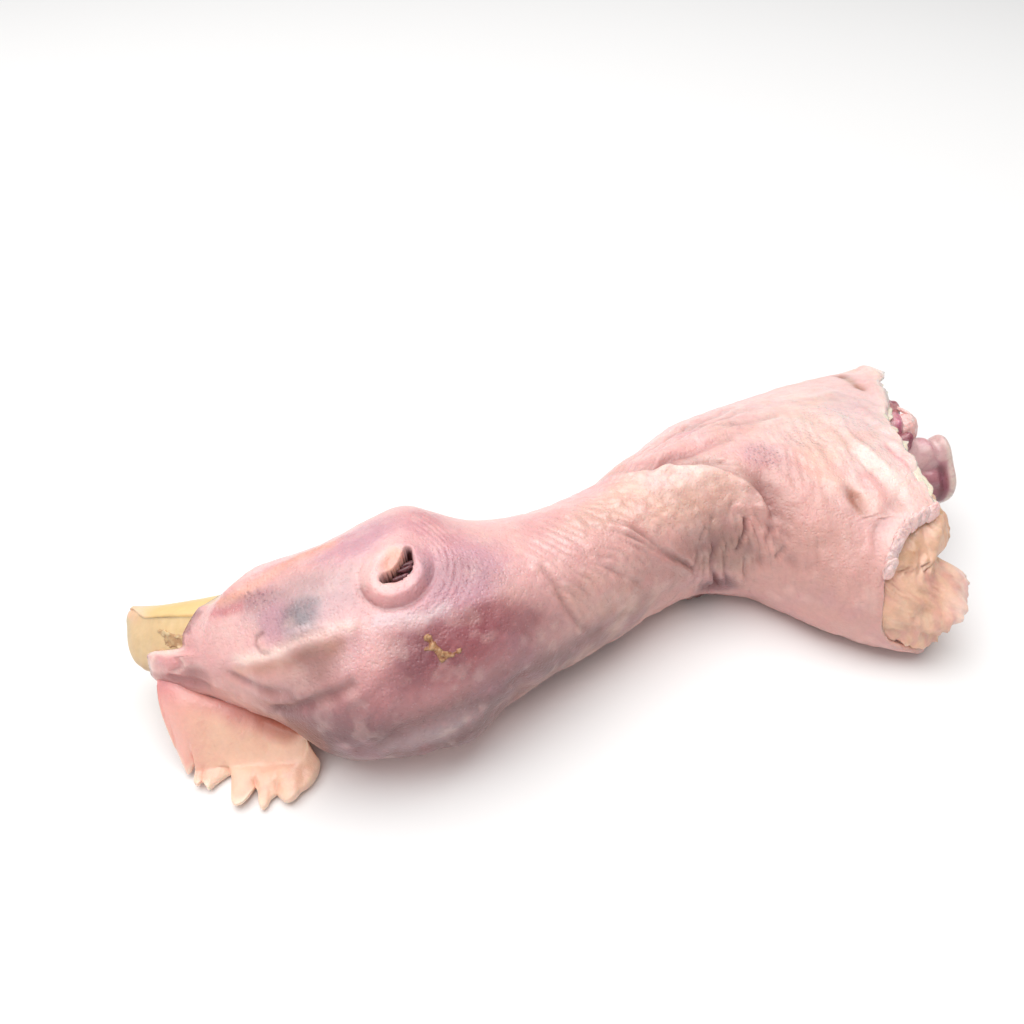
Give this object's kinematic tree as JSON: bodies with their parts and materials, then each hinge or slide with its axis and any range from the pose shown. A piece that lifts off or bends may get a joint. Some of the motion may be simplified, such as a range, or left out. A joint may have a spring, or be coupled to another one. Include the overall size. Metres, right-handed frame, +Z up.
{
  "type": "raw chicken head",
  "caption": "Raw plucked chicken head lying on its cheek: closed eye, yellow beak, drooping comb, and a neck that widens to loose skin round meat, bone and fat where it is cut.",
  "frame": {"origin": "on the table, in the middle of the footprint's bounding box", "axes": "+X from the beak towards the cut end of the neck, +Y towards the throat side, +Z up from the table"},
  "size_m": [0.183, 0.0918, 0.0406],
  "materials": {
    "skin": "wet raw skin, pale pink with mauve shadows",
    "beak_upper": "satin horn, beige yellow",
    "beak_lower": "satin horn, bright yellow",
    "comb": "wet, peach orange",
    "neck_meat": "wet raw meat, purple pink",
    "vertebra": "wet bone, grey pink",
    "fat_pad": "wet fat, cream yellow"
  },
  "bodies": {
    "root": {"skin": "skin", "beak_upper": "beak_upper", "beak_lower": "beak_lower", "comb": "comb", "neck_meat": "neck_meat", "vertebra": "vertebra", "fat_pad": "fat_pad"}
  },
  "joints": []
}
